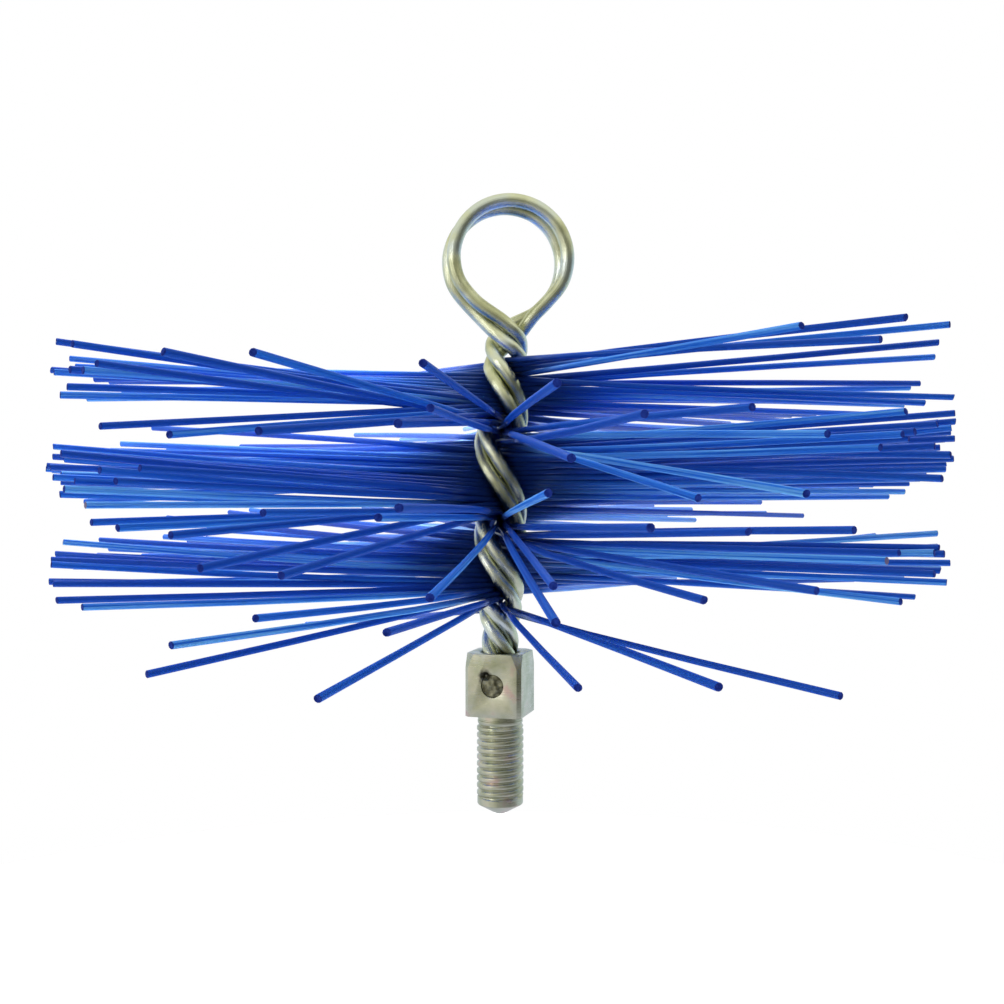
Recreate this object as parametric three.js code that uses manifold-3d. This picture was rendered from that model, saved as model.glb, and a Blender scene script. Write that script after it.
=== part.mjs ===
// Chimney sweep brush: stiff bristles clamped in a stem of two folded and twisted wires, with a
// pulling eye on top and a square coupler with a threaded stud below.
// Millimetres, +Z up. The origin is the centre of the stud's blunt end, on the axis of the stem.

import * as THREE from "three";
import { mergeVertices } from "three/addons/utils/BufferGeometryUtils.js";
import Module from "manifold-3d";

const wasm = await Module();
wasm.setup();

// Threaded stud, from its blunt end upwards
const studDiameter = 10;
const threadPitch = 1.5;
const threadTurns = 10;
const threadDepth = 0.92;
const bluntDiameter = 1.8;
const conePointHeight = 2.2;
const bandDiameter = 9.6;
const bandHeight = 1.5;
const neckDiameter = 9.5;
const neckHeight = 2.3;

// Square body of the coupler, turned a little about the stem's axis
const squareWidth = 12;
const squareHeight = 13;
const squareTurn = -16;
const edgeChamfer = 0.8;
const turnedTopDiameter = 14.4;
const turnedTopDrop = 5;

// Cross hole on the front face, and the plug that is set in it
const crossHoleDiameter = 4.8;
const plugClearance = 0.3;
const plugRecess = 0.5;
const plugDish = 0.4;

// Sides of the coupler's and the plug's round faces
const topSides = 64;
const studSides = 32;
const socketSides = 32;
const holeSides = 24;
const plugSides = 16;

// Stem wires
const wireDiameter = 2.8;
const pairGap = 0.25;
const socketClearance = 0.3;
const socketDepth = 9.8;
const wireFootRise = 1.8;
const stemLength = 66.5;
const bundleThickness = 5.4;
const stemLean = 1.3;
const leanQuarters = [4, 7];

// Pulling eye, measured on the middle of the wire pair. The front ring lies off the rear one in
// the direction ringAside.
const eyeDiameter = 23.8;
const eyeRise = 15.7;
const eyeOffset = 1.65;
const eyeDepth = 1.3;
const ringAside = new THREE.Vector3(0.38, -0.87, 0.32);

// Bristles: the strands, and the slab of clamped strands between the wire pairs
const brushDiameter = 178;
const strandSides = 3;
const strandWidth = 0.8;
const strandGap = 0.1;
const rowPitch = 0.93;
const layerPitch = 1;
const wireRoom = 0.1;
const slabClearance = 0.36;
const slabHalfWidth = 3.6;
const slabSplit = 0.3;
const rootDepth = 0.7;
const bristleQuarters = [0.58, 6.85];
const bandQuarters = [2.35, 3.75, 5.1];

// How bristles leave the stem, in degrees: the fan between layers, the way that they swing from
// the front and the back to the sides, their scatter, the angle round the front that only the
// front bristles fill, and the rise and droop of the end rows
const layerFan = 10;
const sidewaysLean = 9;
const azimuthScatter = 9;
const liftScatter = 3.8;
const frontScatter = 2.4;
const frontOpening = 38;
const topRise = 3;
const topRiseQuarters = [6.2, 7];
const footDroop = 7;
const footDroopQuarters = [0.6, 1.5];
const shortestShare = 0.055;

// Height of the stem's middle line at each quarter turn of the twist, as shares of the stem's
// length above the coupler, how far the bristle bundle spreads the pairs there, and how freely
// the bristles fan out there
const firstQuarter = -3;
const heightShares = [-0.175, -0.093, -0.01, 0.073, 0.158, 0.262, 0.4, 0.552, 0.703, 0.842, 0.935, 1];
const spreadShares = [0.26, 0.26, 0.26, 0.3, 0.66, 0.84, 0.94, 1, 0.92, 0.72, 0.6, 0.5];
const fanShares = [0.5, 0.5, 0.5, 0.6, 0.75, 0.9, 1, 1, 1, 0.85, 0.62, 0.5];
const lastQuarter = firstQuarter + heightShares.length - 1;

// Sizes worked out from the ones above
const wireRadius = wireDiameter / 2;
const neckSpread = bundleThickness * spreadShares[0];
const pairSpacing = wireDiameter + pairGap;
const bandTop = conePointHeight + bandHeight;
const threadTop = bandTop + threadTurns * threadPitch;
const shoulder = threadTop + neckHeight;
const couplerTop = shoulder + squareHeight;
const brushRadius = brushDiameter / 2;
const strandRadius = strandWidth / 2 / Math.sin(Math.PI / strandSides);
const zAxis = new THREE.Vector3(0, 0, 1);
const degree = Math.PI / 180;

// Colours and finishes, one material for each part
const zincPlate = { color: 0xb4b5a3, roughness: 0.28, metalness: 1 };
const dullSteel = { color: 0x8f8d7c, roughness: 0.5, metalness: 1 };
const plugSteel = { color: 0x6f6d5c, roughness: 0.6, metalness: 1 };
const bluePlastic = { color: 0x1f3fb4, roughness: 0.35, metalness: 0 };

const brush = new THREE.Group();

function addPart(name, geometry, finish) {
  const mesh = new THREE.Mesh(geometry, new THREE.MeshStandardMaterial(finish));
  mesh.name = name;
  brush.add(mesh);
}

// Solids: a closed geometry becomes a manifold for joins and cuts, and comes back as a geometry
function closedMesh(geometry) {
  const bare = geometry.index ? geometry.toNonIndexed() : geometry.clone();
  bare.deleteAttribute("normal");
  bare.deleteAttribute("uv");
  const merged = mergeVertices(bare);
  const corners = [];
  for (let i = 0; i < merged.index.count; i += 3) {
    const [a, b, c] = [merged.index.getX(i), merged.index.getX(i + 1), merged.index.getX(i + 2)];
    if (a !== b && b !== c && c !== a) corners.push(a, b, c);
  }
  return { vertProperties: merged.attributes.position.array, triVerts: new Uint32Array(corners) };
}

function solid(geometry) {
  const { vertProperties, triVerts } = closedMesh(geometry);
  const shape = new wasm.Manifold(new wasm.Mesh({ numProp: 3, vertProperties, triVerts }));
  if (shape.volume() > 0) return shape;
  const turned = triVerts.slice().reverse();
  return new wasm.Manifold(new wasm.Mesh({ numProp: 3, vertProperties, triVerts: turned }));
}

function geometryOf(shape) {
  const { vertProperties, triVerts } = shape.getMesh();
  const geometry = new THREE.BufferGeometry();
  geometry.setAttribute("position", new THREE.BufferAttribute(vertProperties, 3));
  geometry.setIndex(new THREE.BufferAttribute(triVerts, 1));
  return geometry;
}

function turnedSolid(outline, sides) {
  const points = outline.map(([radius, height]) => new THREE.Vector2(radius, height));
  return solid(new THREE.LatheGeometry(points, sides).rotateX(Math.PI / 2));
}

function roundBar(radius, low, high) {
  const bar = new THREE.CylinderGeometry(radius, radius, high - low, socketSides);
  return bar.rotateX(Math.PI / 2).translate(0, 0, (low + high) / 2);
}

// Smooth value between the entries of a table with one entry for each quarter turn
function between(shares, quarter) {
  const place = THREE.MathUtils.clamp(quarter, firstQuarter, lastQuarter) - firstQuarter;
  const index = Math.min(Math.floor(place), shares.length - 2);
  const t = place - index;
  const [a, b, c, d] = [-1, 0, 1, 2].map((step) => {
    const k = index + step;
    if (k < 0) return 2 * shares[0] - shares[1];
    if (k === shares.length) return 2 * shares[k - 1] - shares[k - 2];
    return shares[k];
  });
  const slope = (c - a) / 2;
  const nextSlope = (d - b) / 2;
  const rise = c - b;
  return b + t * slope + t * t * (3 * rise - 2 * slope - nextSlope)
    + t * t * t * (slope + nextSlope - 2 * rise);
}

// The twist: at each quarter turn, the place of the middle line, the direction from it to the
// first wire pair, the direction in which the bristles leave, and the gap between the pairs
function twistAt(quarter) {
  const angle = -(Math.PI / 2) * quarter;
  const lean = stemLean * THREE.MathUtils.smoothstep(quarter, ...leanQuarters);
  return {
    middle: new THREE.Vector3(lean, 0, couplerTop + stemLength * between(heightShares, quarter)),
    outward: new THREE.Vector3(Math.sin(angle), -Math.cos(angle), 0),
    along: new THREE.Vector3(Math.cos(angle), Math.sin(angle), 0),
    angle,
    spread: bundleThickness * between(spreadShares, quarter),
    fan: between(fanShares, quarter),
  };
}

function quarterAtHeight(height) {
  let [low, high] = [firstQuarter, lastQuarter];
  for (let halving = 0; halving < 40; halving += 1) {
    const middle = (low + high) / 2;
    if (twistAt(middle).middle.z < height) low = middle;
    else high = middle;
  }
  return (low + high) / 2;
}

// Stem wires: the pair's middle line runs up one side of the stem, round the eye and down the
// other side, and the two wires lie on either side of it
const wireFootQuarter = quarterAtHeight(couplerTop - socketDepth + wireFootRise);

function stemStations(side) {
  const stations = [];
  const steps = 2 * (lastQuarter - firstQuarter);
  for (let step = 0; step <= steps; step += 1) {
    const quarter = THREE.MathUtils.lerp(wireFootQuarter, lastQuarter, step / steps);
    const { middle, outward, along, spread } = twistAt(quarter);
    const offset = wireRadius + spread / 2;
    stations.push({ point: middle.addScaledVector(outward, side * offset), aside: along });
  }
  return stations;
}

function eyeStations() {
  const stations = [];
  const steps = 10;
  const eyeRadius = eyeDiameter / 2;
  const legAngle = Math.acos(eyeRadius / eyeRise);
  for (let step = 0; step <= steps; step += 1) {
    const share = step / steps;
    const angle = THREE.MathUtils.lerp(-Math.PI / 2 - legAngle, -Math.PI * 2.5 + legAngle, share);
    const point = new THREE.Vector3(
      eyeOffset + eyeRadius * Math.cos(angle),
      eyeDepth * (2 * share - 1),
      couplerTop + stemLength + eyeRise + eyeRadius * Math.sin(angle),
    );
    stations.push({ point, aside: ringAside });
  }
  return stations;
}

function wireRoutes() {
  const stations = [...stemStations(1), ...eyeStations(), ...stemStations(-1).reverse()];
  const middleLine = new THREE.CatmullRomCurve3(stations.map(({ point }) => point));
  const asideLine = new THREE.CatmullRomCurve3(stations.map(({ aside }) => aside));
  const routes = [[], []];
  const steps = 3 * (stations.length - 1);
  for (let step = 0; step <= steps; step += 1) {
    const share = step / steps;
    const tangent = middleLine.getTangent(share);
    const aside = asideLine.getPoint(share).projectOnPlane(tangent).normalize();
    const point = middleLine.getPoint(share);
    routes[0].push(point.clone().addScaledVector(aside, pairSpacing / 2));
    routes[1].push(point.clone().addScaledVector(aside, -pairSpacing / 2));
  }
  return routes;
}

function wireTube(route) {
  const sides = 10;
  const section = new THREE.Shape(Array.from({ length: sides }, (_, index) => {
    const angle = (index / sides) * 2 * Math.PI;
    return new THREE.Vector2(wireRadius * Math.cos(angle), wireRadius * Math.sin(angle));
  }));
  const path = new THREE.CatmullRomCurve3(route);
  const stepShare = 0.85;
  const steps = Math.round(path.getLength() / (wireDiameter * stepShare));
  const tube = new THREE.ExtrudeGeometry(section, { steps, extrudePath: path, bevelEnabled: false });
  return geometryOf(solid(tube));
}

// The least gap between two routes' points, or between those of one route an eighth of it apart
function leastGap(route, other) {
  const ownReach = Math.ceil(route.length / 8);
  let least = Infinity;
  route.forEach((point, index) => other.forEach((place, otherIndex) => {
    if (route === other && Math.abs(index - otherIndex) < ownReach) return;
    least = Math.min(least, point.distanceTo(place) - wireDiameter);
  }));
  return least;
}

function addWires() {
  const [front, rear] = wireRoutes();
  console.log(`least gap of the front wire to itself: ${leastGap(front, front).toFixed(2)} mm`);
  console.log(`least gap of the rear wire to itself: ${leastGap(rear, rear).toFixed(2)} mm`);
  console.log(`least gap between the wires: ${leastGap(front, rear).toFixed(2)} mm`);
  addPart("stem_wire_front", wireTube(front), zincPlate);
  addPart("stem_wire_rear", wireTube(rear), zincPlate);
}

// Thread: a tube whose rows climb one pitch in a turn, pressed flat at both ends
function threadSolid(low, high) {
  const columns = 16;
  const majorRadius = studDiameter / 2;
  const minorRadius = majorRadius - threadDepth;
  const [rootShare, crestStartShare, crestEndShare] = [0.25, 0.56, 0.69];
  const profile = [
    [0, minorRadius],
    [rootShare, minorRadius],
    [crestStartShare, majorRadius],
    [crestEndShare, majorRadius],
  ];
  const rows = [];
  const firstTurn = -1;
  const lastTurn = Math.ceil((high - low) / threadPitch);
  for (let turn = firstTurn; turn <= lastTurn; turn += 1) {
    profile.forEach(([share, radius]) => rows.push([turn + share, radius]));
  }
  const corner = ([climb, radius], column) => {
    const angle = (column / columns) * 2 * Math.PI;
    const height = low + threadPitch * (climb + column / columns);
    const inside = height > low && height < high;
    const reach = inside ? radius : minorRadius;
    return [reach * Math.cos(angle), reach * Math.sin(angle), THREE.MathUtils.clamp(height, low, high)];
  };
  const positions = [];
  const addTriangle = (...corners) => corners.forEach((place) => positions.push(...place));
  for (let row = 0; row < rows.length - 1; row += 1) {
    for (let column = 0; column < columns; column += 1) {
      const [a, b] = [corner(rows[row], column), corner(rows[row], column + 1)];
      const [c, d] = [corner(rows[row + 1], column + 1), corner(rows[row + 1], column)];
      addTriangle(a, b, c);
      addTriangle(a, c, d);
    }
  }
  for (let column = 0; column < columns; column += 1) {
    const [angle, nextAngle] = [column, column + 1].map((place) => (place / columns) * 2 * Math.PI);
    const rim = (turn, height) => [minorRadius * Math.cos(turn), minorRadius * Math.sin(turn), height];
    addTriangle([0, 0, low], rim(nextAngle, low), rim(angle, low));
    addTriangle([0, 0, high], rim(angle, high), rim(nextAngle, high));
  }
  const geometry = new THREE.BufferGeometry();
  geometry.setAttribute("position", new THREE.Float32BufferAttribute(positions, 3));
  return solid(mergeVertices(geometry, threadPitch / 1000));
}

// Coupler: the square bar with its turned top, socket and cross hole, and the stud below it
const wireReach = Math.hypot(wireRadius + neckSpread / 2, pairSpacing / 2) + wireRadius;
const socketRadius = wireReach + socketClearance;

function squareBar() {
  const half = squareWidth / 2;
  const cut = half - edgeChamfer;
  const outline = new THREE.Shape([
    [half, -cut], [half, cut], [cut, half], [-cut, half],
    [-half, cut], [-half, -cut], [-cut, -half], [cut, -half],
  ].map(([x, y]) => new THREE.Vector2(x, y)));
  const depth = 3 * squareHeight;
  const bar = new THREE.ExtrudeGeometry(outline, { depth, bevelEnabled: false });
  return solid(bar.translate(0, 0, shoulder - squareHeight).rotateZ(squareTurn * degree));
}

function turnedEnvelope() {
  const cornerRadius = squareWidth / Math.SQRT2;
  return turnedSolid([
    [0, shoulder],
    [cornerRadius, shoulder],
    [cornerRadius, couplerTop - turnedTopDrop],
    [turnedTopDiameter / 2, couplerTop],
    [0, couplerTop],
  ], topSides);
}

function studCore() {
  const coreRadius = studDiameter / 2 - 1.5 * threadDepth;
  const coreTop = shoulder + neckHeight / 4;
  return turnedSolid([
    [0, 0],
    [bluntDiameter / 2, 0],
    [bandDiameter / 2, conePointHeight],
    [bandDiameter / 2, bandTop],
    [coreRadius, bandTop],
    [coreRadius, threadTop],
    [neckDiameter / 2, threadTop],
    [neckDiameter / 2, coreTop],
    [0, coreTop],
  ], studSides);
}

function crossHoleBar(diameter, near, far) {
  const bar = new THREE.CylinderGeometry(diameter / 2, diameter / 2, far - near, holeSides);
  return bar.translate(0, -(near + far) / 2, 0)
    .rotateZ(squareTurn * degree)
    .translate(0, 0, shoulder + squareHeight / 2);
}

function addCoupler() {
  const overlap = threadPitch / 8;
  const socket = roundBar(socketRadius, couplerTop - socketDepth, couplerTop + squareHeight);
  const coupler = squareBar()
    .intersect(turnedEnvelope())
    .add(studCore())
    .add(threadSolid(bandTop - overlap, threadTop + overlap))
    .subtract(solid(socket))
    .subtract(solid(crossHoleBar(crossHoleDiameter, 0, squareWidth)));
  addPart("threaded_coupler", geometryOf(coupler), dullSteel);
}

function addPlug() {
  const plugDiameter = crossHoleDiameter - 2 * plugClearance;
  const face = squareWidth / 2 - plugRecess;
  const foot = socketRadius;
  const outline = [
    [0, foot],
    [plugDiameter / 2, foot],
    [plugDiameter / 2, face - plugDish],
    [plugDiameter / 2 - plugDish, face],
    [plugDiameter / 4, face],
    [0, face - plugDish],
  ].map(([radius, height]) => new THREE.Vector2(radius, -height));
  const plug = new THREE.LatheGeometry(outline, plugSides)
    .rotateZ(squareTurn * degree)
    .translate(0, 0, shoulder + squareHeight / 2);
  addPart("locking_plug", geometryOf(solid(plug)), plugSteel);
}

// The front bristles, for each gap of the twist that opens to the front, from the lowest up: the
// azimuth in degrees, and the height of the tip above the coupler as a share of the stem's length
const frontTipShares = [
  [
    [-54, 0.06], [-70, 0.09], [-83, 0.1], [-106, 0.07], [-126, 0.09], [-123, 0.16], [-100, 0.21],
    [-112, 0.23],
  ],
  [
    [-45, 0.24], [-59, 0.28], [-71, 0.27], [-85, 0.23], [-54, 0.41], [-67, 0.41], [-77, 0.42],
    [-85, 0.3], [-96, 0.28], [-110, 0.32], [-119, 0.33], [-123, 0.4], [-112, 0.45], [-102, 0.44],
    [-99, 0.46], [-86, 0.49],
  ],
  [
    [-60, 0.49], [-72, 0.48], [-84, 0.56], [-45, 0.63], [-58, 0.62], [-67, 0.67], [-77, 0.65],
    [-85, 0.71], [-96, 0.66], [-99, 0.63], [-113, 0.62], [-124, 0.62], [-136, 0.65], [-143, 0.86],
    [-122, 0.82], [-111, 0.77], [-97, 0.75],
  ],
  [[-33, 0.92], [-46, 0.9], [-50, 0.84], [-63, 0.85]],
];

// The wires as close rows of points, for keeping clear of them
const closeRow = 700;
const wirePoints = wireRoutes().flatMap((route) => new THREE.CatmullRomCurve3(route).getPoints(closeRow));

function roomToWires(place) {
  return Math.min(...wirePoints.map((point) => point.distanceTo(place))) - wireRadius;
}

// The clamped bundle's section: places across it, as shares of its half width and thickness
const slabPlaces = [1, 0.5, 0, -0.5, -1].map((across) => [across, 1]);
slabPlaces.push(...slabPlaces.map(([across]) => [across, -1]).reverse());

function slabSection(quarter, halfThickness) {
  const { middle, outward, along } = twistAt(quarter);
  return slabPlaces.map(([across, through]) => middle.clone()
    .addScaledVector(along, across * slabHalfWidth)
    .addScaledVector(outward, through * halfThickness));
}

// Half the bundle's thickness, as far as the wires leave room for it
function slabHalfThickness(quarter) {
  let [low, high] = [0, twistAt(quarter).spread / 2];
  for (let halving = 0; halving < 8; halving += 1) {
    const half = (low + high) / 2;
    if (slabSection(quarter, half).every((place) => roomToWires(place) > slabClearance)) low = half;
    else high = half;
  }
  return low;
}

// Bristle slots: rows up the stem, with as many layers in a row as the bundle's thickness holds
const [rowsLow, rowsHigh] = bristleQuarters.map((quarter) => twistAt(quarter).middle.z);
const rowCount = Math.floor((rowsHigh - rowsLow) / rowPitch);
const rowHeight = (rowsHigh - rowsLow) / rowCount;

function bristleSlots() {
  const slots = [];
  for (let row = 0; row < rowCount; row += 1) {
    const quarter = quarterAtHeight(rowsLow + (row + 0.5) * rowHeight);
    const spare = 2 * slabHalfThickness(quarter) - strandWidth;
    const layers = 1 + Math.max(0, Math.floor(spare / layerPitch));
    for (let layer = 0; layer < layers; layer += 1) {
      slots.push({ quarter, layer: layer - (layers - 1) / 2, taken: [] });
    }
  }
  return slots;
}

// The direction in which a slot's bristle leaves by itself, on the side +1 or -1
function naturalAzimuth({ quarter, layer }, side) {
  const { angle, fan } = twistAt(quarter);
  const straight = angle + (side > 0 ? 0 : Math.PI) - side * layer * layerFan * degree * fan;
  return straight - sidewaysLean * degree * Math.sin(2 * straight);
}

function strandFrom(slot, side, azimuth, lift, reach) {
  const { middle, outward, along } = twistAt(slot.quarter);
  const direction = new THREE.Vector3(
    Math.cos(azimuth) * Math.cos(lift),
    Math.sin(azimuth) * Math.cos(lift),
    Math.sin(lift),
  );
  const root = middle.addScaledVector(outward, slot.layer * layerPitch)
    .addScaledVector(along, side * slabHalfWidth);
  const inner = root.clone().addScaledVector(direction, -rootDepth);
  const tip = root.clone().addScaledVector(direction, reach - slabHalfWidth);
  return { quarter: slot.quarter, height: root.z, root, inner, tip, direction };
}

// The room that a strand leaves to the wires and to the strands that are there already
function roomRound(strand, others) {
  const ray = new THREE.Ray(strand.root, strand.direction);
  const place = new THREE.Vector3();
  const otherPlace = new THREE.Vector3();
  let room = Infinity;
  others.forEach((other) => {
    ray.distanceSqToSegment(other.root, other.tip, place, otherPlace);
    place.sub(otherPlace);
    room = Math.min(room, Math.max(Math.abs(place.z), Math.hypot(place.x, place.y)) - strandWidth);
  });
  ray.origin.copy(strand.inner);
  wirePoints.forEach((point) => {
    const gap = ray.distanceToPoint(point) - wireRadius - strandRadius;
    room = Math.min(room, gap - wireRoom + strandGap);
  });
  return room - strandGap;
}

let seed = 20261;
function random() {
  const modulus = 2 ** 31 - 1;
  seed = (seed * 16807) % modulus;
  return seed / modulus;
}
const spreadRandom = () => random() + random() + random() - 1.5;

// Tries aims round the wanted one until the strand has room
function roomyStrand(slot, side, aim, placed) {
  let best = null;
  for (let attempt = 0; attempt < aim.attempts; attempt += 1) {
    const width = aim.widening ? attempt / aim.attempts : 1;
    const azimuth = aim.azimuth + width * aim.swing * degree * spreadRandom();
    const lift = aim.lift + width * aim.nod * degree * spreadRandom();
    const reach = brushRadius * (1 - aim.shortShare * random() * random());
    const strand = strandFrom(slot, side, azimuth, lift, reach);
    strand.room = roomRound(strand, placed);
    if (!best || strand.room > best.room) best = strand;
    if (best.room > 0) break;
  }
  return best;
}

// The free sides of the slots that suit a bristle's root and azimuth, the best ones first
function choicesFor(slots, rootQuarter, azimuth) {
  const turnWeight = 4;
  const choiceCount = 8;
  const choices = slots.flatMap((slot) => [1, -1].filter((side) => !slot.taken.includes(side))
    .map((side) => {
      const turn = Math.sin((naturalAzimuth(slot, side) - azimuth) / 2);
      const misfit = Math.abs(slot.quarter - rootQuarter) + turnWeight * Math.abs(turn);
      return { slot, side, misfit };
    }));
  return choices.sort((a, b) => a.misfit - b.misfit).slice(0, choiceCount);
}

function placeFront(slots, strands) {
  frontTipShares.forEach((tips, halfTurn) => tips.forEach(([azimuthDegrees, heightShare]) => {
    const azimuth = azimuthDegrees * degree;
    const rootQuarter = 2 * halfTurn - azimuth / (Math.PI / 2);
    const tipHeight = couplerTop + stemLength * heightShare;
    const aim = {
      azimuth,
      swing: frontScatter,
      nod: frontScatter,
      widening: true,
      shortShare: 0,
      attempts: 60,
    };
    for (const { slot, side } of choicesFor(slots, rootQuarter, azimuth)) {
      const rise = tipHeight - twistAt(slot.quarter).middle.z;
      aim.lift = Math.asin(rise / (brushRadius - slabHalfWidth));
      const strand = roomyStrand(slot, side, aim, strands);
      if (strand.room > 0) {
        slot.taken.push(side);
        strands.push(strand);
        break;
      }
    }
  }));
}

function placeOthers(slots, strands) {
  slots.forEach((slot) => [1, -1].filter((side) => !slot.taken.includes(side)).forEach((side) => {
    const rise = topRise * THREE.MathUtils.smoothstep(slot.quarter, ...topRiseQuarters);
    const droop = footDroop * (1 - THREE.MathUtils.smoothstep(slot.quarter, ...footDroopQuarters));
    const aim = {
      azimuth: naturalAzimuth(slot, side),
      lift: (rise - droop) * degree,
      swing: azimuthScatter * twistAt(slot.quarter).fan,
      nod: liftScatter,
      shortShare: shortestShare,
      attempts: 120,
    };
    const fromFront = Math.acos(-Math.sin(aim.azimuth)) / degree;
    if (fromFront < frontOpening) return;
    const strand = roomyStrand(slot, side, aim, strands);
    if (strand.room > 0) strands.push(strand);
  }));
}

function bristleStrands() {
  const slots = bristleSlots();
  const strands = [];
  placeFront(slots, strands);
  placeOthers(slots, strands);
  const leastRoom = Math.min(...strands.map(({ room }) => room + strandGap));
  console.log(`${strands.length} bristle strands, least gap ${leastRoom.toFixed(2)} mm`);
  return strands;
}

function strandSolid({ inner, tip, direction }) {
  const length = inner.distanceTo(tip);
  const bar = new THREE.CylinderGeometry(strandRadius, strandRadius, length, strandSides);
  const sideways = new THREE.Vector3().crossVectors(direction, zAxis).normalize();
  const upward = new THREE.Vector3().crossVectors(sideways, direction);
  const placement = new THREE.Matrix4().makeBasis(sideways, direction, upward);
  placement.setPosition(inner.clone().lerp(tip, 0.5));
  return solid(bar.applyMatrix4(placement));
}

// A slice of the clamped bundle: a twisted slab between the wire pairs
function slabSlice(low, high) {
  const [from, to] = [quarterAtHeight(low), quarterAtHeight(high)];
  const steps = Math.ceil((to - from) * 5);
  const ring = (quarter) => (
    slabSection(quarter, slabHalfThickness(quarter)).map((place) => place.toArray())
  );
  const rings = Array.from({ length: steps + 1 }, (_, step) => (
    ring(THREE.MathUtils.lerp(from, to, step / steps))
  ));
  const positions = [];
  const addTriangle = (...corners) => corners.forEach((place) => positions.push(...place));
  const corners = rings[0].length;
  for (let step = 0; step < steps; step += 1) {
    for (let corner = 0; corner < corners; corner += 1) {
      const next = (corner + 1) % corners;
      const [a, b] = [rings[step][corner], rings[step][next]];
      const [c, d] = [rings[step + 1][next], rings[step + 1][corner]];
      addTriangle(a, b, c);
      addTriangle(a, c, d);
    }
  }
  for (let corner = 1; corner < corners - 1; corner += 1) {
    addTriangle(rings[0][0], rings[0][corner + 1], rings[0][corner]);
    addTriangle(rings[steps][0], rings[steps][corner], rings[steps][corner + 1]);
  }
  const geometry = new THREE.BufferGeometry();
  geometry.setAttribute("position", new THREE.Float32BufferAttribute(positions, 3));
  return solid(geometry);
}

function addBristles() {
  const names = ["bristles_bottom", "bristles_lower", "bristles_upper", "bristles_top"];
  const splits = bandQuarters.map((quarter) => {
    const rows = Math.round((twistAt(quarter).middle.z - rowsLow) / rowHeight);
    return rowsLow + rows * rowHeight;
  });
  const limits = [rowsLow, ...splits, rowsHigh];
  const strands = bristleStrands();
  names.forEach((name, index) => {
    const [from, to] = [limits[index], limits[index + 1]];
    let band = slabSlice(from + slabSplit / 2, to - slabSplit / 2);
    strands.filter(({ height }) => height > from && height < to).forEach((strand) => {
      band = band.add(strandSolid(strand));
    });
    addPart(name, geometryOf(band), bluePlastic);
  });
}

addWires();
addCoupler();
addPlug();
addBristles();

export default brush;
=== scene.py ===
# Chimney sweep brush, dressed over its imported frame.
# Metres, +Z up the stem, and the viewer of the photograph's view stands on the -Y side. The pieces'
# settings are in millimetres and degrees.
import math
import random

import bmesh
import bpy
from mathutils import Matrix, Vector, noise


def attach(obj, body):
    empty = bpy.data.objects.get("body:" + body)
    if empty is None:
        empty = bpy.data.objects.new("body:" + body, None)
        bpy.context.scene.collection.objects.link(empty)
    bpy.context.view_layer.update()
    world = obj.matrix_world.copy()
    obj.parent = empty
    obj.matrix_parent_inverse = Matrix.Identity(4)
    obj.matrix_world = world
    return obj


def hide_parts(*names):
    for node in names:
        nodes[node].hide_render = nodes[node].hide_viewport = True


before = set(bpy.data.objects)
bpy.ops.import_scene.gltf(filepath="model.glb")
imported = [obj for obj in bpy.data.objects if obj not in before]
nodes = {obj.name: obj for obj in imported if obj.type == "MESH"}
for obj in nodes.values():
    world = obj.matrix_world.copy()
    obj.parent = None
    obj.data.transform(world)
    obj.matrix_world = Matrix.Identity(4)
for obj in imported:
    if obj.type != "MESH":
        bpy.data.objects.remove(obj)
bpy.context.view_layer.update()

mm = 0.001
weldDistance = 1e-6  # metres, between points that should be one
up = Vector((0, 0, 1))
white = (1, 1, 1, 1)
black = (0, 0, 0, 1)
scene = bpy.context.scene
scene.view_settings.view_transform = "Standard"
print("frame loaded:", ", ".join(sorted(nodes)))


def linear(code):
    # sRGB hex to the linear values that the shader sockets take
    parts = [int(code[place:place + 2], 16) / 255 for place in (1, 3, 5)]
    return [part / 12.92 if part <= 0.04045 else ((part + 0.055) / 1.055) ** 2.4
            for part in parts] + [1.0]


def addNode(tree, kind, inputs=None, stops=(), **settings):
    # one node, its settings, for each input either a value or the socket that feeds it, and for
    # each stop of a colour ramp its place from 0 to 1 and its sRGB hex colour
    node = tree.nodes.new(kind)
    for name, value in settings.items():
        setattr(node, name, value)
    for name, value in (inputs or {}).items():
        if isinstance(value, bpy.types.NodeSocket):
            tree.links.new(value, node.inputs[name])
        else:
            node.inputs[name].default_value = value
    if stops:
        elements = node.color_ramp.elements
        while len(elements) < len(stops):
            elements.new(0.5)
        for element, (place, _) in zip(elements, stops):
            element.position = place
        for element, (_, code) in zip(elements, stops):
            element.color = linear(code)
    return node


def newMaterial(name):
    material = bpy.data.materials.new(name)
    material.use_nodes = True
    material.node_tree.nodes.clear()
    return material, material.node_tree


def addObject(name, mesh, material=None):
    piece = bpy.data.objects.new(name, mesh)
    scene.collection.objects.link(piece)
    if material:
        mesh.materials.append(material)
    return piece


def meshFrom(bm, name):
    mesh = bpy.data.meshes.new(name)
    bm.to_mesh(mesh)
    bm.free()
    return mesh


def finishedMesh(piece):
    # the mesh with all modifiers, or with a curve's bevel, applied
    graph = bpy.context.evaluated_depsgraph_get()
    return bpy.data.meshes.new_from_object(piece.evaluated_get(graph), depsgraph=graph)


def combined(piece, steps, name):
    # one solid from a few: each step is an operation and the object that it uses up
    for operation, tool in steps:
        modifier = piece.modifiers.new(operation, "BOOLEAN")
        modifier.operation = operation
        modifier.solver = "EXACT"
        modifier.object = tool
    mesh = finishedMesh(piece)
    mesh.name = name
    for used in [piece] + [tool for _, tool in steps]:
        bpy.data.objects.remove(used)
    return mesh


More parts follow.
